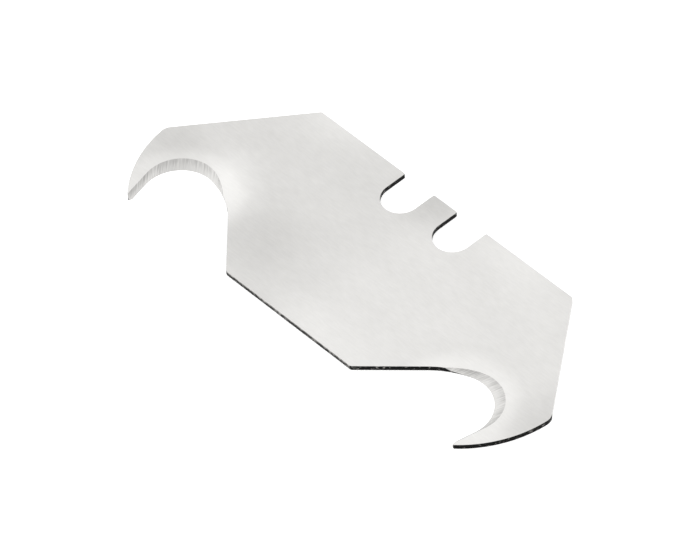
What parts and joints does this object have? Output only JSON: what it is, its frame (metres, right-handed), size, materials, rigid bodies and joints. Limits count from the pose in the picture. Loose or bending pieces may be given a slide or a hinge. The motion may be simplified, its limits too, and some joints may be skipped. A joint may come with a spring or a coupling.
{
  "type": "utility knife hook blade",
  "caption": "Flat double-ended hook blade for a utility knife, with two locating notches in its back and a ground cutting edge inside each hook.",
  "frame": {"origin": "middle of the plate's outline, on its lower face", "axes": "+X along the blade, +Y towards the notched back, +Z through the thickness towards the ground face"},
  "size_m": [0.05, 0.019, 0.0005],
  "materials": {
    "blade_steel": "satin rolled strip faces, dark sheared edges, fine transverse grinding on the bevels"
  },
  "bodies": {
    "root": {"blade": "blade_steel"}
  },
  "joints": []
}
